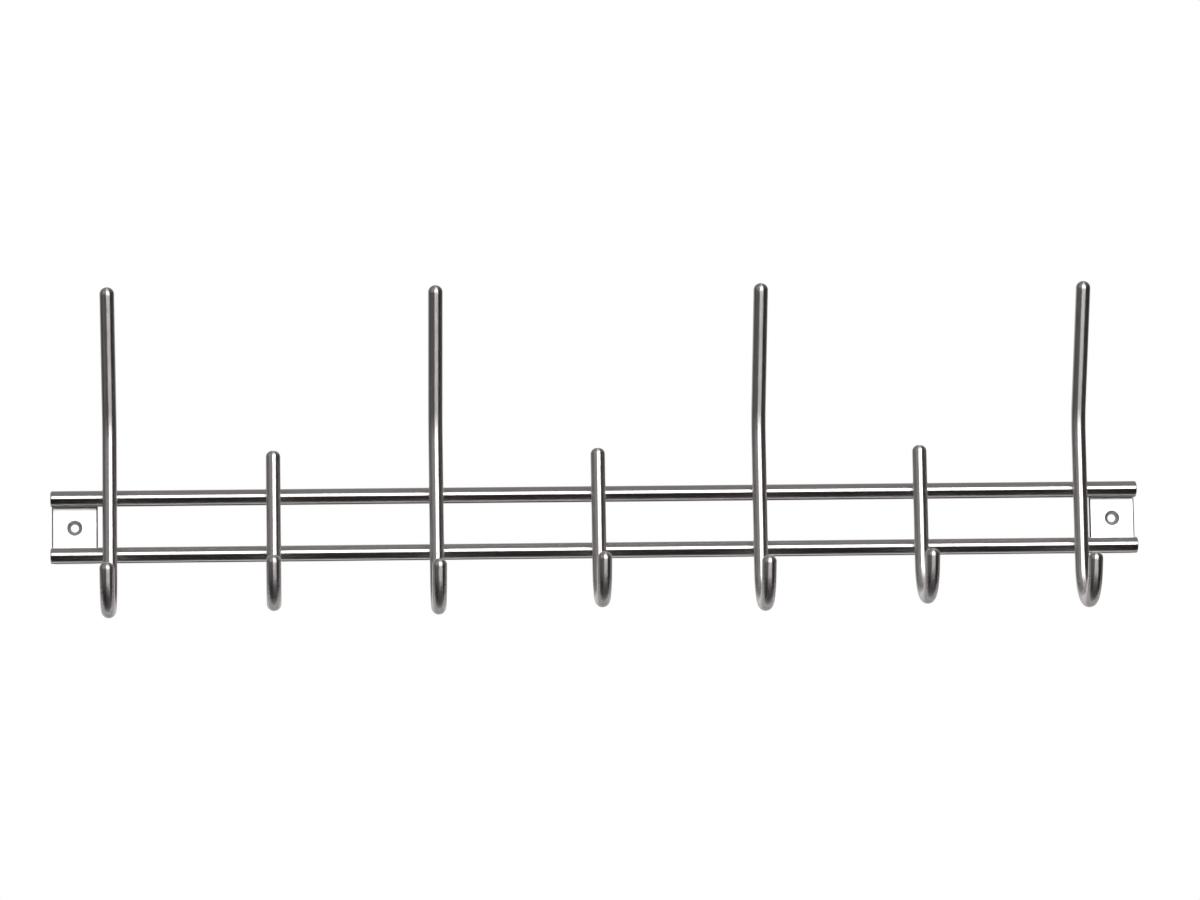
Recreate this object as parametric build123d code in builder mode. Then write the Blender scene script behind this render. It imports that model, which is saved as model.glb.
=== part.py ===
"""Wall hook rack welded from round steel bar: two rails, two wall plates and a row of bent-rod hooks.

Millimetres. +X runs along the rails, +Y points into the wall, +Z is up. The origin is on the wall
plane, midway between the two screw holes, so the whole rack lies at negative Y.
"""

import os
from math import cos, radians, sin, tan

from build123d import *

# Rails: two round bars, one above the other
RAIL_DIAMETER = 10.0
RAIL_SPACING = 35.0  # between the two rail axes
RAIL_OVERHANG = 36.5  # from the axis of an outer hook to the rail's end
RAIL_END_ROUNDING = 1.0

# Row of hooks: a hat hook at each end, and a coat hook between every two hat hooks
HAT_HOOK_COUNT = 4
HOOK_PITCH = 100.0
HOOK_DIAMETER = 9.0

# The J at the foot of every hook
THROAT_RADIUS = 24.0  # of the rod's centreline
LEG_LENGTH = 11.2  # straight front leg, from the bend to its tip
LEG_LEAN = 18.5  # degrees that the leg opens forward
HAT_THROAT_DROP = 12.7  # bend centre below the lower rail's axis
COAT_THROAT_DROP = 9.4
TIP_FLAT = 1.3  # diameter of the small flat left on a domed end

# Upper ends
COAT_TOP_RISE = 27.6  # top of a coat hook above the upper rail's axis
ARM_BEND_RISE = 43.0  # corner of a hat arm above the upper rail's axis
ARM_BEND_RADIUS = 55.0  # of the rod's centreline
ARM_TILT = 22.0  # degrees forward of vertical
ARM_LENGTH = 88.2  # from the corner to the end of the arm
ARM_TIP_FLAT = 0.5

# Wall plates: flat strips behind both rails
PLATE_WIDTH = 28.0
PLATE_THICKNESS = 3.0
PLATE_LIP = 4.4  # plate beyond each rail's axis
PLATE_INSET = 0.5  # plate's outer edge inside the rail's end
PLATE_CORNER_RADIUS = 2.0
PLATE_EDGE_ROUNDING = 1.0
SCREW_HOLE_DIAMETER = 5.0
COUNTERSINK_DIAMETER = 9.3
COUNTERSINK_ANGLE = 90.0

# Welds: the bars are pressed a little into what they are welded to
HOOK_SETDOWN = 0.4  # hook into rail
PLATE_SETDOWN = 0.3  # rail into plate
HOOK_WELD_INSET = 0.8  # nugget's edge inside the outline of the thinner bar
PLATE_WELD_LENGTH = 20.0
PLATE_WELD_MARGIN = 0.2  # toe of the run inside the flat of the plate

# Places that follow from the sizes above
hook_count = 2 * HAT_HOOK_COUNT - 1
outer_hook_x = HOOK_PITCH * (hook_count - 1) / 2
rail_length = 2 * (outer_hook_x + RAIL_OVERHANG)
rail_y = PLATE_SETDOWN - PLATE_THICKNESS - RAIL_DIAMETER / 2
hook_y = rail_y + HOOK_SETDOWN - (RAIL_DIAMETER + HOOK_DIAMETER) / 2
upper_rail_z = RAIL_SPACING / 2
lower_rail_z = -RAIL_SPACING / 2
rail_heights = (upper_rail_z, lower_rail_z)
plate_x = rail_length / 2 - PLATE_INSET - PLATE_WIDTH / 2
plate_height = RAIL_SPACING + 2 * PLATE_LIP

os.makedirs("parts", exist_ok=True)


def save(part, name):
    """Label a finished piece and write it as its own file."""
    part.label = name
    export_step(part, f"parts/{name}.step")


def cut_rails():
    """Cut the seats of both rails into the piece being built."""
    with Locations(*[(0, rail_y, height) for height in rail_heights]):
        Cylinder(RAIL_DIAMETER / 2, rail_length, rotation=(0, 90, 0), mode=Mode.SUBTRACT)


def make_rail(name, height):
    """A straight bar with softened ends."""
    with BuildPart() as rail:
        with BuildSketch(Plane.YZ.offset(-rail_length / 2)):
            with Locations((rail_y, height)):
                Circle(RAIL_DIAMETER / 2)
        extrude(amount=rail_length)
        fillet(rail.edges().filter_by(GeomType.CIRCLE), RAIL_END_ROUNDING)
    save(rail.part, name)


def make_plate(name, center_x):
    """A flat strip with softened front edges, one countersunk hole and a shallow seat for each rail."""
    with BuildPart() as plate:
        with BuildSketch(Plane.XZ):
            with Locations((center_x, 0)):
                RectangleRounded(PLATE_WIDTH, plate_height, PLATE_CORNER_RADIUS)
        extrude(amount=PLATE_THICKNESS)
        front = plate.faces().sort_by(Axis.Y)[0]
        fillet(front.edges(), PLATE_EDGE_ROUNDING)
        with Locations(Plane((center_x, -PLATE_THICKNESS, 0), z_dir=(0, -1, 0))):
            CounterSinkHole(
                SCREW_HOLE_DIAMETER / 2,
                COUNTERSINK_DIAMETER / 2,
                counter_sink_angle=COUNTERSINK_ANGLE,
            )
        cut_rails()
    save(plate.part, name)


def make_plate_welds(name, center_x):
    """A weld run above and below each rail, in the corner between rail and plate."""
    half_width = PLATE_LIP - PLATE_EDGE_ROUNDING - PLATE_WELD_MARGIN
    with BuildPart() as welds:
        with BuildSketch(Plane.YZ.offset(center_x - PLATE_WELD_LENGTH / 2)):
            for height in rail_heights:
                with BuildLine():
                    Polyline(
                        (-PLATE_THICKNESS, height - half_width),
                        (-PLATE_THICKNESS, height + half_width),
                        (rail_y, height),
                        close=True,
                    )
                make_face()
        extrude(amount=PLATE_WELD_LENGTH)
        cut_rails()
    save(welds.part, name)


def make_hook(name, center_x, throat_drop, has_arm):
    """A bent rod with domed ends, seated in both rails. Its path runs from the top end to the J's tip."""
    forward_and_up = Plane((center_x, hook_y, 0), x_dir=(0, -1, 0), z_dir=(-1, 0, 0))
    throat_z = lower_rail_z - throat_drop
    tilt = radians(ARM_TILT)
    with BuildPart() as hook:
        with BuildLine(forward_and_up) as path:
            if has_arm:
                corner_z = upper_rail_z + ARM_BEND_RISE
                corner_cut = ARM_BEND_RADIUS * tan(tilt / 2)
                arm = Line(
                    (ARM_LENGTH * sin(tilt), corner_z + ARM_LENGTH * cos(tilt)),
                    (corner_cut * sin(tilt), corner_z + corner_cut * cos(tilt)),
                )
                bend = JernArc(arm @ 1, arm % 1, ARM_BEND_RADIUS, ARM_TILT)
                upright = Line(bend @ 1, (0, throat_z))
            else:
                upright = Line((0, upper_rail_z + COAT_TOP_RISE), (0, throat_z))
            throat = JernArc(upright @ 1, upright % 1, THROAT_RADIUS, 180 - LEG_LEAN)
            Line(throat @ 1, throat @ 1 + (throat % 1) * LEG_LENGTH)
        with BuildSketch(Plane(path.wire() @ 0, z_dir=path.wire() % 0)):
            Circle(HOOK_DIAMETER / 2)
        sweep(path=path.wire())
        leg_end, top_end = hook.faces().filter_by(GeomType.PLANE).sort_by(Axis.Z)
        fillet(leg_end.edges(), (HOOK_DIAMETER - TIP_FLAT) / 2)
        top_flat = ARM_TIP_FLAT if has_arm else TIP_FLAT
        fillet(top_end.edges(), (HOOK_DIAMETER - top_flat) / 2)
        cut_rails()
    save(hook.part, name)


def make_hook_welds(name, center_x):
    """A weld nugget round the seat of one hook on each rail."""
    nugget_radius = min(RAIL_DIAMETER, HOOK_DIAMETER) / 2 - HOOK_WELD_INSET
    rod_length = RAIL_SPACING + 2 * RAIL_DIAMETER
    with BuildPart() as welds:
        with Locations(*[(center_x, (rail_y + hook_y) / 2, height) for height in rail_heights]):
            Cylinder(nugget_radius, rail_y - hook_y, rotation=(90, 0, 0))
        cut_rails()
        with Locations((center_x, hook_y, 0)):
            Cylinder(HOOK_DIAMETER / 2, rod_length, mode=Mode.SUBTRACT)
    save(welds.part, name)


make_rail("upper_rail", upper_rail_z)
make_rail("lower_rail", lower_rail_z)
for side_name, side in (("left", -1), ("right", 1)):
    make_plate(f"{side_name}_wall_plate", side * plate_x)
    make_plate_welds(f"{side_name}_plate_welds", side * plate_x)
for index in range(hook_count):
    hook_x = HOOK_PITCH * index - outer_hook_x
    number = index // 2 + 1
    if index % 2 == 0:
        hook_name = f"hat_hook_{number}"
        make_hook(hook_name, hook_x, HAT_THROAT_DROP, has_arm=True)
    else:
        hook_name = f"coat_hook_{number}"
        make_hook(hook_name, hook_x, COAT_THROAT_DROP, has_arm=False)
    make_hook_welds(f"{hook_name}_welds", hook_x)
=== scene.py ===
"""Looks of a welded wall hook rack: polished round bar, satin wall plates and smooth welds.

Metres, in the same frame as the solids: +X along the rails, +Y into the wall, +Z up.
"""

import random
from collections import namedtuple
from math import cos, pi, radians, sin, sqrt, tan

import bpy
from mathutils import Matrix, Vector


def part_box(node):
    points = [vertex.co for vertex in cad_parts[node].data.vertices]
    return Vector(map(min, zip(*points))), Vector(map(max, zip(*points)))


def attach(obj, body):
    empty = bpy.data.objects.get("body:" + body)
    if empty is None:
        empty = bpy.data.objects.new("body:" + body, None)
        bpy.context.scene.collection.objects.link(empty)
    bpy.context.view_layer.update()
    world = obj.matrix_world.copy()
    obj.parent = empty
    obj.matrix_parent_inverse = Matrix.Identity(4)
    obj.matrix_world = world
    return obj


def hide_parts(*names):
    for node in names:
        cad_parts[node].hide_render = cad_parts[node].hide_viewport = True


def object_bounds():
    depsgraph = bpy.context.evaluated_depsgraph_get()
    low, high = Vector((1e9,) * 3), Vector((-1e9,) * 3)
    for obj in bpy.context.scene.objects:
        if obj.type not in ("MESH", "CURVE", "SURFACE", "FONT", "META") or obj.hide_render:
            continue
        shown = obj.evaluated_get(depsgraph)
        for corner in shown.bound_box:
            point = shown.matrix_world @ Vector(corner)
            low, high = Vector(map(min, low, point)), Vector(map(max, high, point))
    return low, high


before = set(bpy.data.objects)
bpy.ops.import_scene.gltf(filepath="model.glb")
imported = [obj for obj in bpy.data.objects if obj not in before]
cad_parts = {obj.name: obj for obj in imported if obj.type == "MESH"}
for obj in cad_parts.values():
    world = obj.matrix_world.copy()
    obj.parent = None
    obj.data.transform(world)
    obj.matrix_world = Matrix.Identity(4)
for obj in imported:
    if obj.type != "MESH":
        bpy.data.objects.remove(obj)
cad_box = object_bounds()

Ring = namedtuple("Ring", "centre side other radius along")  # one cross-section of a swept bar
Grain = namedtuple("Grain", "scale octaves")  # a noise pattern, with its scale along each axis

ROOT = "root"
UP = Vector((0, 0, 1))
RIGHT = Vector((1, 0, 0))
FORWARD = Vector((0, -1, 0))

# Nodes of the rack
HAT_HOOKS = [f"hat_hook_{n}" for n in range(1, 5)]
COAT_HOOKS = [f"coat_hook_{n}" for n in range(1, 4)]
RAILS = ["upper_rail", "lower_rail"]
PLATES = ["left_wall_plate", "right_wall_plate"]
PLATE_WELDS = ["left_plate_welds", "right_plate_welds"]

# Shape of the bars that their boxes don't tell
THROAT_RADIUS = 0.024
LEG_LEAN = radians(18.5)
ARM_BEND_RADIUS = 0.055
ARM_TILT = radians(22.0)
ARM_LENGTH = 0.0882
ARM_TIP_FLAT = 0.0005
TIP_FLAT = 0.0013
RAIL_END_ROUNDING = 0.001

# Fineness of the swept bars
AROUND = 96
DOME_RINGS = 14
ARC_STEP = radians(2.5)
STRAIGHT_STEP = 0.004
BAR_MAP = "Bar"

# Weld collars between hook and rail
COLLAR_TOE_INSET = 0.00035
COLLAR_WAIST = 0.0007
COLLAR_RINGS = 9
COLLAR_AROUND = 72
COLLAR_RIPPLE = 0.00006
RIPPLE_SEED = 7

# Middle of a noise pattern's range, which is spread over a finish's own range
NOISE_LOW = 0.3
NOISE_HIGH = 0.7

# Polished bar: its patterns run along the bar and round it
BAR_DARK = (0.558, 0.531, 0.525, 1)
BAR_LIGHT = (0.655, 0.624, 0.617, 1)
BAR_ANISOTROPY = 1.0
GRINDING = Grain((5200, 90, 1), 3.0)
STREAKS = Grain((14, 900, 1), 2.0)
BAR_CLOUD = Grain((60, 120, 1), 4.0)
GRINDING_ROUGHNESS = (0.129, 0.152)
STREAK_ROUGHNESS = (-0.008, 0.016)
BAR_CLOUD_ROUGHNESS = (0.1425, 0.175)
STREAK_TONE = (0.0, 0.4)
BAR_CLOUD_TONE = (0.1, 0.6)
GRINDING_STRENGTH = 0.05
MARK_DEPTH = 0.00004  # of the polishing marks on bars and plates

# The bend of the J is burnished by the bending tool, and the upper arm keeps a coarser grind
BURNISH_START = 0.0207  # above the foot of a hat hook
BURNISH_FULL = 0.0097
BURNISH = 0.078
COARSE_START = 0.087  # below the top of a hat hook
COARSE_FULL = 0.057
COARSENING = 0.024

# Satin plates
PLATE_DARK = (0.60, 0.60, 0.59, 1)
PLATE_LIGHT = (0.70, 0.70, 0.69, 1)
# Countersink: darker than the flat, partly as duller drilled metal and partly as painted shade for its dark
# ring
DRILLED_SHADE_DARK = (0.42, 0.415, 0.41, 1)
DRILLED_SHADE_LIGHT = (0.50, 0.495, 0.49, 1)
# Painted shade: a near-black colour on the rounded edges of the plates, which draws their dark outline
EDGE_SHADE_DARK = (0.14, 0.138, 0.135, 1)
EDGE_SHADE_LIGHT = (0.20, 0.197, 0.193, 1)
PLATE_LINES = Grain((60, 60, 4200), 3.0)
PLATE_CLOUD = Grain((70, 70, 70), 4.0)
PLATE_LINE_ROUGHNESS = (0.30, 0.36)
PLATE_CLOUD_ROUGHNESS = (0.08, 0.12)
PLATE_LINE_STRENGTH = 0.06
DRILLED_RADIUS = 0.005
DRILLED_BLEND = 0.002
FLAT_FACING = 0.99  # how squarely a broad face looks along Y
EDGE_FACING = 0.85  # the same where the rounding of an edge gets the full painted shade

# Weld metal
WELD_DARK = (0.40, 0.385, 0.37, 1)
WELD_LIGHT = (0.56, 0.545, 0.53, 1)
WELD_RIPPLE = Grain((900, 900, 900), 3.0)
WELD_ROUGHNESS = (0.28, 0.42)
WELD_STRENGTH = 0.25
WELD_DEPTH = 0.0001

# Lamps
SOFTBOX_DISTANCE = 2.4
SOFTBOX_SIDE = radians(10.8)
SOFTBOX_RISE = radians(18.6)
SOFTBOX_WIDTH = 2.16
SOFTBOX_HEIGHT = 1.48
SOFTBOX_RADIANCE = 5.8
STRIP_PLACE = Vector((0, 0.042, -0.16))
STRIP_LENGTH = 1.4
STRIP_WIDTH = 0.045
STRIP_RADIANCE = 1.15

# Grey room round the rack
LEFT_GREY = 0.20
RIGHT_GREY = 0.05
CEILING_GREY = 0.30
SPILL_WAY = Vector((-0.58, -0.74, 0.34))  # towards a pale patch high in front on the left
SPILL_GREY = 0.65
LOW_FRONT_GREY = 0.02
LOW_BACK_GREY = 0.90
UNDER_GREY = 0.06
WHITE = 1.0

# Where the room's greys change over: start and end, measured along one axis of a unit direction
LEFT_TO_RIGHT = (-0.3, 0.6)  # along X
WALL_TO_CEILING = (0.35, 0.9)  # along Z
SPILL_EDGE = (0.75, 0.97)  # along SPILL_WAY
UPPER_TO_LOWER = (0.03, -0.06)  # along Z
UNDER_TO_BACK = (-0.6, -0.25)  # along Z
FRONT_TO_BACK = (0.45, 0.85)  # along Y
BACKDROP_SIDE = (0.55, 1.0)  # along Y
BACKDROP_FOOT = (-0.12, 0.05)  # along Z

# Floor
FLOOR_DROP = 0.40  # below the rack
FLOOR_RADIUS = 2.4
FLOOR_FADE = 1.1  # where it starts to fade out
FLOOR_TONE = (0.85, 0.85, 0.85, 1)
FLOOR_GLOW = (0.42, 0.42, 0.42, 1)

# Camera: below and to the left of the rack's middle, looking a little up and to the right
CAMERA_PLACE = Vector((-0.1901, -2.8320, -0.2818))
CAMERA_YAW = radians(-3.893)
CAMERA_PITCH = radians(6.584)
CAMERA_ROLL = radians(-0.957)
CAMERA_LENS = 137.96
CAMERA_SENSOR = 36.0


# Pieces

def node_size(node):
    """Centre and size of a node's box."""
    low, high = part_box(node)
    return (low + high) / 2, high - low


def place_piece(name, mesh):
    """Put a smooth mesh into the scene as a piece that rides with the rack."""
    mesh.polygons.foreach_set("use_smooth", [True] * len(mesh.polygons))
    mesh.update()
    piece = bpy.data.objects.new(name, mesh)
    bpy.context.scene.collection.objects.link(piece)
    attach(piece, ROOT)
    return piece


def finish_piece(piece, node, material):
    """Hide the node that a piece stands for, and give the piece its finish."""
    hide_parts(node)
    piece.data.materials.append(material)


def finish_node(node, material):
    """Give a node that stays as it is a better finish."""
    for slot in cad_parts[node].material_slots:
        slot.material = material


# Swept bars

def straight(start, end):
    """Evenly spaced points of a straight stretch, with the first one left out."""
    count = max(1, round((end - start).length / STRAIGHT_STEP))
    return [start.lerp(end, k / count) for k in range(1, count + 1)]


def arc(start, heading, radius, turn):
    """Points of an arc in the plane of forward and up, first one left out, and the heading at its end.

    It turns counterclockwise for someone who sees forward on the right.
    """
    inward = UP * heading.dot(FORWARD) - FORWARD * heading.dot(UP)
    count = max(2, round(turn / ARC_STEP))
    points = []
    for k in range(1, count + 1):
        angle = turn * k / count
        points.append(start + inward * radius * (1 - cos(angle)) + heading * radius * sin(angle))
    return points, heading * cos(turn) + inward * sin(turn)


def dome_rings(ring, heading, sign, flat):
    """Rings that close one end of a bar, from its last full ring outwards to a flat of the given diameter.

    Sign is -1 at the bar's start and 1 at its end.
    """
    depth = ring.radius - flat / 2
    closing = []
    for k in range(1, DOME_RINGS + 1):
        angle = pi / 2 * k / DOME_RINGS
        reach = sign * depth * sin(angle)
        radius = flat / 2 + depth * cos(angle)
        centre = ring.centre + heading * reach
        closing.append(Ring(centre, ring.side, ring.other, radius, ring.along + reach))
    return closing


def bar_rings(points, across, radius, start_flat, end_flat):
    """Rings of a bar that follows points, with both ends rounded down to a flat of the given diameter."""
    headings = []
    for k in range(len(points)):
        before = points[max(k - 1, 0)]
        after = points[min(k + 1, len(points) - 1)]
        headings.append((after - before).normalized())
    rings = []
    along = 0.0
    for k, point in enumerate(points):
        if k:
            along += (point - points[k - 1]).length
        rings.append(Ring(point, across, headings[k].cross(across), radius, along))
    head = dome_rings(rings[0], headings[0], -1, start_flat)
    tail = dome_rings(rings[-1], headings[-1], 1, end_flat)
    return head[::-1] + rings + tail


def bar_points(rings):
    """Points of a bar's surface, ring after ring."""
    points = []
    for ring in rings:
        for k in range(AROUND):
            angle = 2 * pi * k / AROUND
            points.append(ring.centre + (ring.side * cos(angle) + ring.other * sin(angle)) * ring.radius)
    return points


def bar_faces(rings):
    """Faces of a closed bar, and the place of each face's corners on its map.

    The map runs along the bar in U and round it in V, in metres.
    """
    girth = max(ring.radius for ring in rings) * 2 * pi
    faces = []
    places = []
    for row in range(len(rings) - 1):
        here, there = row * AROUND, (row + 1) * AROUND
        near, far = rings[row].along, rings[row + 1].along
        for k in range(AROUND):
            step = (k + 1) % AROUND
            faces.append((here + k, here + step, there + step, there + k))
            low, high = girth * k / AROUND, girth * (k + 1) / AROUND
            places += [(near, low), (near, high), (far, high), (far, low)]
    for row, order in ((0, -1), (len(rings) - 1, 1)):
        corners = range(AROUND)[::order]
        faces.append(tuple(row * AROUND + k for k in corners))
        places += [(rings[row].along, girth * k / AROUND) for k in corners]
    return faces, places


def make_bar(name, rings):
    """A closed, smooth bar through the rings."""
    faces, places = bar_faces(rings)
    mesh = bpy.data.meshes.new(name)
    mesh.from_pydata(bar_points(rings), [], faces)
    layer = mesh.uv_layers.new(name=BAR_MAP)
    layer.data.foreach_set("uv", [value for place in places for value in place])
    return place_piece(name, mesh)


def make_rail(node, material):
    """A fine straight bar with rounded ends in place of a rail."""
    centre, size = node_size(node)
    radius = size.z / 2
    half = RIGHT * (size.x / 2 - RAIL_END_ROUNDING)
    points = [centre - half] + straight(centre - half, centre + half)
    flat = 2 * (radius - RAIL_END_ROUNDING)
    rail = make_bar(f"polished_{node}", bar_rings(points, FORWARD, radius, flat, flat))
    finish_piece(rail, node, material)


def arm_points(axis, top_z, dome):
    """Points of a hat hook's arm, from the foot of its dome down through the bend below it."""
    arm_way = UP * cos(ARM_TILT) + FORWARD * sin(ARM_TILT)
    # The highest point of the domed end lies on its rounding, above the end's centre
    dome_z = top_z - dome - ARM_TIP_FLAT / 2 * sin(ARM_TILT)
    corner = axis + UP * (dome_z - (ARM_LENGTH - dome) * cos(ARM_TILT))
    dome_start = corner + arm_way * (ARM_LENGTH - dome)
    bend_start = corner + arm_way * (ARM_BEND_RADIUS * tan(ARM_TILT / 2))
    # Coming down the arm, the rod turns back to hang straight down
    bend, _ = arc(bend_start, -arm_way, ARM_BEND_RADIUS, ARM_TILT)
    return [dome_start] + straight(dome_start, bend_start) + bend


def make_hook(node, has_arm, material):
    """A fine bent rod with domed ends in place of a hook. It runs from the top end to the J's tip."""
    low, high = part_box(node)
    radius = (high.x - low.x) / 2
    axis = Vector(((low.x + high.x) / 2, high.y - radius, 0))
    throat = axis + UP * (low.z + radius + THROAT_RADIUS)
    tip_dome = radius - TIP_FLAT / 2
    if has_arm:
        top_flat = ARM_TIP_FLAT
        points = arm_points(axis, high.z, radius - ARM_TIP_FLAT / 2)
    else:
        top_flat = TIP_FLAT
        points = [axis + UP * (high.z - tip_dome)]
    points += straight(points[-1], throat)
    curve, leg_way = arc(throat, -UP, THROAT_RADIUS, pi - LEG_LEAN)
    points += curve
    # The foremost point of the whole hook lies on the rounding of the J's tip
    tip_y = low.y + tip_dome + TIP_FLAT / 2 * cos(LEG_LEAN)
    leg = leg_way * (points[-1].y - tip_y) / sin(LEG_LEAN)
    points += straight(points[-1], points[-1] + leg)
    hook = make_bar(f"polished_{node}", bar_rings(points, RIGHT, radius, top_flat, TIP_FLAT))
    finish_piece(hook, node, material)


# Weld collars

def collar_points(hook_axis, hook_radius, rail, chance):
    """Points of the collar on one rail: rings from hook to rail, and then the middle of each end."""
    centre, size = node_size(rail)
    rail_radius = size.z / 2
    toe = min(hook_radius, rail_radius) - COLLAR_TOE_INSET
    points = []
    for ring in range(COLLAR_RINGS):
        share = ring / (COLLAR_RINGS - 1)
        for k in range(COLLAR_AROUND):
            angle = 2 * pi * k / COLLAR_AROUND
            ripple = chance.uniform(-COLLAR_RIPPLE, COLLAR_RIPPLE)
            reach = toe - COLLAR_WAIST * sin(pi * share) + ripple
            on_hook = hook_axis.y + sqrt(hook_radius**2 - (toe * cos(angle)) ** 2)
            on_rail = centre.y - sqrt(rail_radius**2 - (toe * sin(angle)) ** 2)
            depth = on_hook + (on_rail - on_hook) * share
            points.append((hook_axis.x + reach * cos(angle), depth, centre.z + reach * sin(angle)))
    points.append((hook_axis.x, hook_axis.y + hook_radius, centre.z))
    points.append((hook_axis.x, centre.y - rail_radius, centre.z))
    return points


def collar_faces(first):
    """Faces of one closed collar, whose points are counted from first."""
    last = first + (COLLAR_RINGS - 1) * COLLAR_AROUND
    hook_middle = last + COLLAR_AROUND
    rail_middle = hook_middle + 1
    faces = []
    for here in range(first, last, COLLAR_AROUND):
        there = here + COLLAR_AROUND
        for k in range(COLLAR_AROUND):
            step = (k + 1) % COLLAR_AROUND
            faces.append((here + k, there + k, there + step, here + step))
    for k in range(COLLAR_AROUND):
        step = (k + 1) % COLLAR_AROUND
        faces.append((first + k, first + step, hook_middle))
        faces.append((last + step, last + k, rail_middle))
    return faces


def make_hook_welds(hook, material, chance):
    """A concave weld collar round the seat of a hook on each rail."""
    node = f"{hook}_welds"
    low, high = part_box(hook)
    hook_radius = (high.x - low.x) / 2
    hook_axis = Vector(((low.x + high.x) / 2, high.y - hook_radius))
    points = []
    faces = []
    for rail in RAILS:
        faces += collar_faces(len(points))
        points += collar_points(hook_axis, hook_radius, rail, chance)
    mesh = bpy.data.meshes.new(node)
    mesh.from_pydata(points, [], faces)
    collars = place_piece(f"collars_{hook}", mesh)
    finish_piece(collars, node, material)


# Shader steps

def empty_tree(owner):
    """The node tree of a material or of the world, emptied."""
    owner.use_nodes = True
    owner.node_tree.nodes.clear()
    return owner.node_tree


def coordinates(tree, kind):
    """Texture coordinates of one kind."""
    return tree.nodes.new("ShaderNodeTexCoord").outputs[kind]


def split(tree, vector):
    """The three parts of a vector."""
    parts = tree.nodes.new("ShaderNodeSeparateXYZ")
    tree.links.new(vector, parts.inputs["Vector"])
    return [parts.outputs[axis] for axis in "XYZ"]


def vector_step(tree, operation, vector, other=(0, 0, 0)):
    """One step of vector arithmetic with a fixed vector, as its node."""
    node = tree.nodes.new("ShaderNodeVectorMath")
    node.operation = operation
    tree.links.new(vector, node.inputs[0])
    node.inputs[1].default_value = other
    return node


def combine(tree, operation, first, second):
    """Two values put together by a math operation."""
    node = tree.nodes.new("ShaderNodeMath")
    node.operation = operation
    tree.links.new(first, node.inputs[0])
    tree.links.new(second, node.inputs[1])
    return node.outputs["Value"]


def add_up(tree, total, *others):
    """The sum of some values."""
    for value in others:
        total = combine(tree, "ADD", total, value)
    return total


def remap(tree, value, start, end, to_start, to_end, smooth=False):
    """A value that goes from to_start to to_end between start and end, and stays there beyond them."""
    node = tree.nodes.new("ShaderNodeMapRange")
    node.interpolation_type = "SMOOTHSTEP" if smooth else "LINEAR"
    tree.links.new(value, node.inputs["Value"])
    node.inputs["From Min"].default_value = start
    node.inputs["From Max"].default_value = end
    node.inputs["To Min"].default_value = to_start
    node.inputs["To Max"].default_value = to_end
    return node.outputs["Result"]


def change_over(tree, value, edges):
    """0 before the first edge, 1 past the second and smooth between. The first may be the larger one."""
    return remap(tree, value, *edges, 0.0, 1.0, smooth=True)


def mix(tree, kind, factor, first, second):
    """A value or colour between two, each of which is fixed or comes from a socket."""
    node = tree.nodes.new("ShaderNodeMix")
    node.data_type = kind
    tree.links.new(factor, node.inputs["Factor"])
    for name, source in (("A", first), ("B", second)):
        if isinstance(source, bpy.types.NodeSocket):
            tree.links.new(source, node.inputs[name])
        else:
            node.inputs[name].default_value = source
    return node.outputs["Result"]


def mix_greys(tree, factor, first, second):
    """A grey between two."""
    return mix(tree, "FLOAT", factor, first, second)


def mix_colours(tree, factor, first, second):
    """A colour between two."""
    return mix(tree, "RGBA", factor, first, second)


def noise(tree, place, grain):
    """A noise pattern of the given grain."""
    mapping = tree.nodes.new("ShaderNodeMapping")
    mapping.inputs["Scale"].default_value = grain.scale
    tree.links.new(place, mapping.inputs["Vector"])
    texture = tree.nodes.new("ShaderNodeTexNoise")
    texture.inputs["Scale"].default_value = 1.0
    texture.inputs["Detail"].default_value = grain.octaves
    tree.links.new(mapping.outputs["Vector"], texture.inputs["Vector"])
    return texture.outputs["Fac"]


def spread(tree, pattern, ends):
    """A noise pattern spread between two ends."""
    return remap(tree, pattern, NOISE_LOW, NOISE_HIGH, *ends)


def bump(tree, shader, pattern, strength, depth):
    """Raise the surface by a pattern."""
    node = tree.nodes.new("ShaderNodeBump")
    node.inputs["Strength"].default_value = strength
    node.inputs["Distance"].default_value = depth
    tree.links.new(pattern, node.inputs["Height"])
    tree.links.new(node.outputs["Normal"], shader.inputs["Normal"])


# Finishes

def new_metal(name):
    """A bare metal, as (material, node tree, shader)."""
    material = bpy.data.materials.new(name)
    tree = empty_tree(material)
    output = tree.nodes.new("ShaderNodeOutputMaterial")
    shader = tree.nodes.new("ShaderNodeBsdfPrincipled")
    shader.inputs["Metallic"].default_value = 1.0
    tree.links.new(shader.outputs["BSDF"], output.inputs["Surface"])
    return material, tree, shader


def bar_wear(tree):
    """What burnishing takes from the roughness low on a hook, and what a coarse grind adds high up."""
    low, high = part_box(HAT_HOOKS[0])
    _, _, height = split(tree, coordinates(tree, "Object"))
    burnish = remap(tree, height, low.z + BURNISH_START, low.z + BURNISH_FULL, 0.0, -BURNISH)
    coarsening = remap(tree, height, high.z - COARSE_START, high.z - COARSE_FULL, 0.0, COARSENING)
    return add_up(tree, burnish, coarsening)


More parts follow.
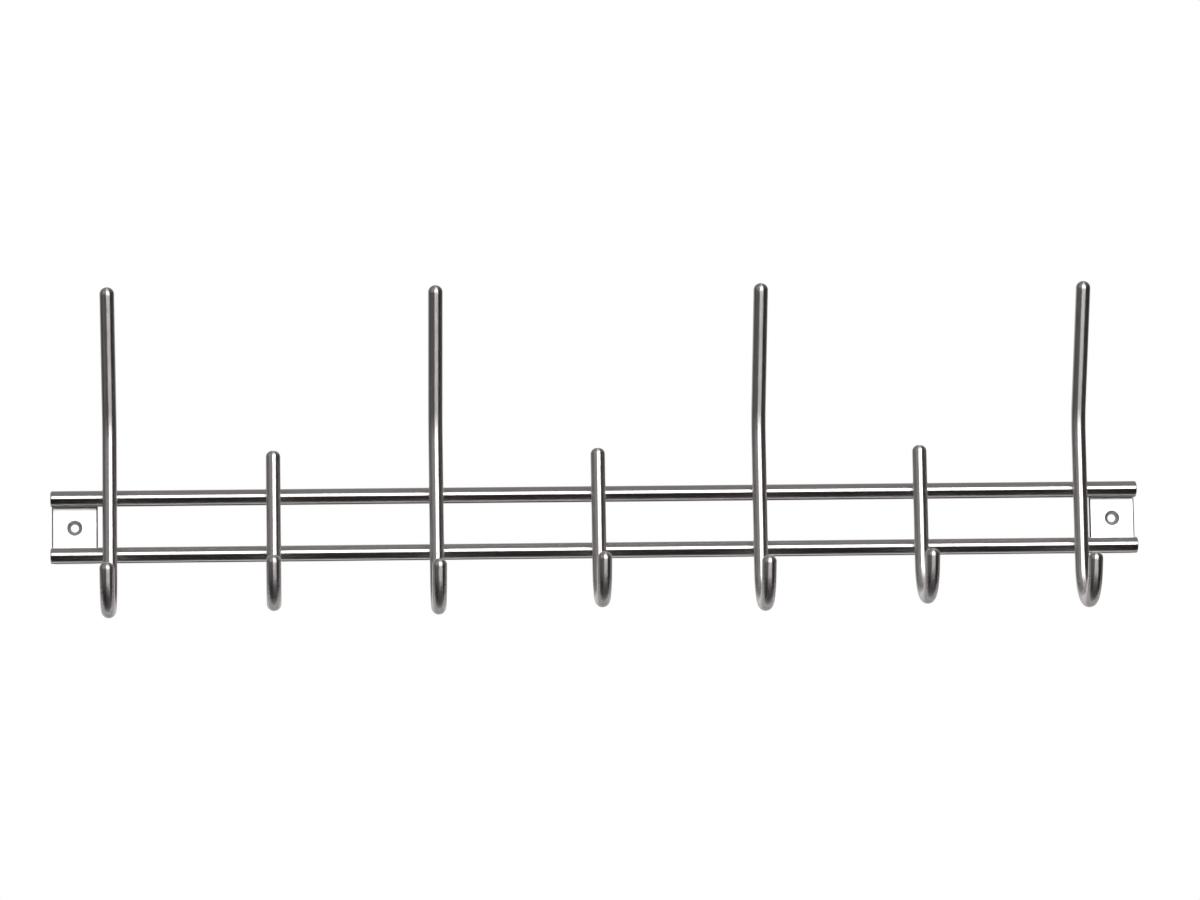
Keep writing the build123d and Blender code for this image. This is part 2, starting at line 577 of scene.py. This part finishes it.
def bar_steel():
    """Polished bar, ground round its girth: fine rings across it, and reflections drawn out along it."""
    material, tree, shader = new_metal("polished_bar")
    tangent = tree.nodes.new("ShaderNodeTangent")
    tangent.direction_type = "UV_MAP"
    tangent.uv_map = BAR_MAP
    tree.links.new(tangent.outputs["Tangent"], shader.inputs["Tangent"])
    shader.inputs["Anisotropic"].default_value = BAR_ANISOTROPY
    bar_map = tree.nodes.new("ShaderNodeUVMap")
    bar_map.uv_map = BAR_MAP
    place = bar_map.outputs["UV"]
    grinding = noise(tree, place, GRINDING)
    streaks = noise(tree, place, STREAKS)
    cloud = noise(tree, place, BAR_CLOUD)
    roughness = add_up(
        tree,
        spread(tree, grinding, GRINDING_ROUGHNESS),
        spread(tree, cloud, BAR_CLOUD_ROUGHNESS),
        spread(tree, streaks, STREAK_ROUGHNESS),
        bar_wear(tree),
    )
    tree.links.new(roughness, shader.inputs["Roughness"])
    tone = add_up(tree, spread(tree, cloud, BAR_CLOUD_TONE), spread(tree, streaks, STREAK_TONE))
    tree.links.new(mix_colours(tree, tone, BAR_DARK, BAR_LIGHT), shader.inputs["Base Color"])
    bump(tree, shader, grinding, GRINDING_STRENGTH, MARK_DEPTH)
    return material


def undrilled(tree, place):
    """0 in the drilled hole of a plate and 1 away from it. The two plates mirror each other."""
    centre, _ = node_size(PLATES[-1])
    mirrored = vector_step(tree, "ABSOLUTE", place).outputs["Vector"]
    offset = vector_step(tree, "SUBTRACT", mirrored, (centre.x, 0, 0)).outputs["Vector"]
    across = vector_step(tree, "MULTIPLY", offset, (1, 0, 1)).outputs["Vector"]
    distance = vector_step(tree, "LENGTH", across).outputs["Value"]
    return remap(tree, distance, DRILLED_RADIUS, DRILLED_RADIUS + DRILLED_BLEND, 0.0, 1.0)


def slanting(tree):
    """0 on the broad faces of a plate and 1 on its edges and countersink, which take the painted-shade
    colours.
    """
    turned = vector_step(tree, "ABSOLUTE", coordinates(tree, "Normal")).outputs["Vector"]
    _, facing, _ = split(tree, turned)
    return remap(tree, facing, FLAT_FACING, EDGE_FACING, 0.0, 1.0)


def plate_steel():
    """Satin strip with fine polishing lines, painted shade on its rounded edges and a dull, drilled
    countersink whose darker colour is partly painted shade.
    """
    material, tree, shader = new_metal("satin_strip")
    place = coordinates(tree, "Object")
    lines = noise(tree, place, PLATE_LINES)
    cloud = noise(tree, place, PLATE_CLOUD)
    line_roughness = spread(tree, lines, PLATE_LINE_ROUGHNESS)
    cloud_roughness = spread(tree, cloud, PLATE_CLOUD_ROUGHNESS)
    tree.links.new(add_up(tree, line_roughness, cloud_roughness), shader.inputs["Roughness"])
    flat_colour = mix_colours(tree, lines, PLATE_DARK, PLATE_LIGHT)
    # Darker countersink colour, partly painted shade
    drilled_shade_colour = mix_colours(tree, cloud, DRILLED_SHADE_DARK, DRILLED_SHADE_LIGHT)
    # Painted shade on the rounded edges of the plate
    painted_edge_shade_colour = mix_colours(tree, cloud, EDGE_SHADE_DARK, EDGE_SHADE_LIGHT)
    drilled_and_edge_shade_colour = mix_colours(tree, undrilled(tree, place), drilled_shade_colour, painted_edge_shade_colour)
    # The edges and the countersink take the painted-shade colours, picked out by how far the surface turns
    # from facing along Y
    colour = mix_colours(tree, slanting(tree), flat_colour, drilled_and_edge_shade_colour)
    tree.links.new(colour, shader.inputs["Base Color"])
    bump(tree, shader, lines, PLATE_LINE_STRENGTH, MARK_DEPTH)
    return material


def weld_steel():
    """Smooth weld metal, a little duller than the bar and faintly rippled."""
    material, tree, shader = new_metal("weld_metal")
    ripple = noise(tree, coordinates(tree, "Object"), WELD_RIPPLE)
    tree.links.new(spread(tree, ripple, WELD_ROUGHNESS), shader.inputs["Roughness"])
    tree.links.new(mix_colours(tree, ripple, WELD_DARK, WELD_LIGHT), shader.inputs["Base Color"])
    bump(tree, shader, ripple, WELD_STRENGTH, WELD_DEPTH)
    return material


# Studio

def add_lamp(name, place, facing, width, height, radiance):
    """A rectangular soft lamp that shines the given way."""
    lamp = bpy.data.lights.new(name, "AREA")
    lamp.shape = "RECTANGLE"
    lamp.size = width
    lamp.size_y = height
    lamp.energy = radiance * pi * width * height
    holder = bpy.data.objects.new(name, lamp)
    holder.location = place
    holder.rotation_mode = "QUATERNION"
    holder.rotation_quaternion = (-facing).to_track_quat("Z", "Y")
    holder.visible_camera = False
    bpy.context.scene.collection.objects.link(holder)


def add_lamps():
    """One large soft lamp in front, above and to the right, and a dim strip below the rails."""
    level_way = FORWARD * cos(SOFTBOX_SIDE) + RIGHT * sin(SOFTBOX_SIDE)
    way = level_way * cos(SOFTBOX_RISE) + UP * sin(SOFTBOX_RISE)
    add_lamp("softbox", way * SOFTBOX_DISTANCE, -way, SOFTBOX_WIDTH, SOFTBOX_HEIGHT, SOFTBOX_RADIANCE)
    add_lamp("strip", STRIP_PLACE, UP, STRIP_LENGTH, STRIP_WIDTH, STRIP_RADIANCE)


def room_grey(tree, way):
    """The grey of the room in each direction: dim on the right, dark low in front and pale low behind."""
    x, y, z = split(tree, way)
    near_spill = vector_step(tree, "DOT_PRODUCT", way, SPILL_WAY.normalized()).outputs["Value"]
    upper = mix_greys(tree, change_over(tree, x, LEFT_TO_RIGHT), LEFT_GREY, RIGHT_GREY)
    upper = mix_greys(tree, change_over(tree, near_spill, SPILL_EDGE), upper, SPILL_GREY)
    upper = mix_greys(tree, change_over(tree, z, WALL_TO_CEILING), upper, CEILING_GREY)
    low_back = mix_greys(tree, change_over(tree, z, UNDER_TO_BACK), UNDER_GREY, LOW_BACK_GREY)
    lower = mix_greys(tree, change_over(tree, y, FRONT_TO_BACK), LOW_FRONT_GREY, low_back)
    return mix_greys(tree, change_over(tree, z, UPPER_TO_LOWER), upper, lower)


def add_world():
    """A white backdrop, which the metal mirrors too, and a grey room round the rack."""
    world = bpy.data.worlds.new("studio")
    bpy.context.scene.world = world
    tree = empty_tree(world)
    output = tree.nodes.new("ShaderNodeOutputWorld")
    background = tree.nodes.new("ShaderNodeBackground")
    tree.links.new(background.outputs["Background"], output.inputs["Surface"])
    way = coordinates(tree, "Generated")
    _, y, z = split(tree, way)
    behind = change_over(tree, y, BACKDROP_SIDE)
    backdrop = combine(tree, "MULTIPLY", behind, change_over(tree, z, BACKDROP_FOOT))
    path = tree.nodes.new("ShaderNodeLightPath")
    mirrored = combine(tree, "ADD", path.outputs["Is Glossy Ray"], path.outputs["Is Transmission Ray"])
    mirrored_backdrop = combine(tree, "MULTIPLY", mirrored, backdrop)
    room = mix_greys(tree, mirrored_backdrop, room_grey(tree, way), WHITE)
    seen = mix_greys(tree, path.outputs["Is Camera Ray"], room, WHITE)
    tree.links.new(seen, background.inputs["Color"])


def floor_paint():
    """Pale matt floor that fades out into the white background, and is clear from below."""
    material = bpy.data.materials.new("pale_floor")
    tree = empty_tree(material)
    output = tree.nodes.new("ShaderNodeOutputMaterial")
    paint = tree.nodes.new("ShaderNodeBsdfDiffuse")
    paint.inputs["Color"].default_value = FLOOR_TONE
    glow = tree.nodes.new("ShaderNodeEmission")
    glow.inputs["Color"].default_value = FLOOR_GLOW
    path = tree.nodes.new("ShaderNodeLightPath")
    tree.links.new(path.outputs["Is Camera Ray"], glow.inputs["Strength"])
    both = tree.nodes.new("ShaderNodeAddShader")
    tree.links.new(paint.outputs["BSDF"], both.inputs[0])
    tree.links.new(glow.outputs["Emission"], both.inputs[1])
    clear = tree.nodes.new("ShaderNodeBsdfTransparent")
    distance = vector_step(tree, "LENGTH", coordinates(tree, "Object")).outputs["Value"]
    far = change_over(tree, distance, (FLOOR_FADE, FLOOR_RADIUS))
    below = tree.nodes.new("ShaderNodeNewGeometry").outputs["Backfacing"]
    fade = tree.nodes.new("ShaderNodeMixShader")
    tree.links.new(combine(tree, "MAXIMUM", far, below), fade.inputs["Fac"])
    tree.links.new(both.outputs["Shader"], fade.inputs[1])
    tree.links.new(clear.outputs["BSDF"], fade.inputs[2])
    tree.links.new(fade.outputs["Shader"], output.inputs["Surface"])
    return material


def add_floor():
    """A plain square floor below the rack."""
    height = cad_box[0][2] - FLOOR_DROP
    corners = [(-1, -1), (1, -1), (1, 1), (-1, 1)]
    mesh = bpy.data.meshes.new("floor")
    mesh.from_pydata([(x * FLOOR_RADIUS, y * FLOOR_RADIUS, height) for x, y in corners], [], [(0, 1, 2, 3)])
    mesh.materials.append(floor_paint())
    floor = bpy.data.objects.new("floor", mesh)
    bpy.context.scene.collection.objects.link(floor)
    floor.visible_glossy = False


def add_camera():
    """The photograph's viewpoint."""
    camera = bpy.data.cameras.new("camera")
    camera.sensor_width = CAMERA_SENSOR
    camera.lens = CAMERA_LENS
    holder = bpy.data.objects.new("camera", camera)
    turn = Matrix.Rotation(CAMERA_YAW, 4, "Z") @ Matrix.Rotation(pi / 2 + CAMERA_PITCH, 4, "X")
    holder.matrix_world = Matrix.Translation(CAMERA_PLACE) @ turn @ Matrix.Rotation(CAMERA_ROLL, 4, "Z")
    bpy.context.scene.collection.objects.link(holder)
    bpy.context.scene.camera = holder


# The rack
bar_finish = bar_steel()
plate_finish = plate_steel()
weld_finish = weld_steel()
ripples = random.Random(RIPPLE_SEED)
for rail_node in RAILS:
    make_rail(rail_node, bar_finish)
for hook_node in HAT_HOOKS:
    make_hook(hook_node, True, bar_finish)
for hook_node in COAT_HOOKS:
    make_hook(hook_node, False, bar_finish)
for hook_node in HAT_HOOKS + COAT_HOOKS:
    make_hook_welds(hook_node, weld_finish, ripples)
for plate_node in PLATES:
    finish_node(plate_node, plate_finish)
for weld_node in PLATE_WELDS:
    finish_node(weld_node, weld_finish)

# The studio round it
add_lamps()
add_world()
add_floor()
add_camera()
bpy.context.scene.view_settings.view_transform = "Standard"
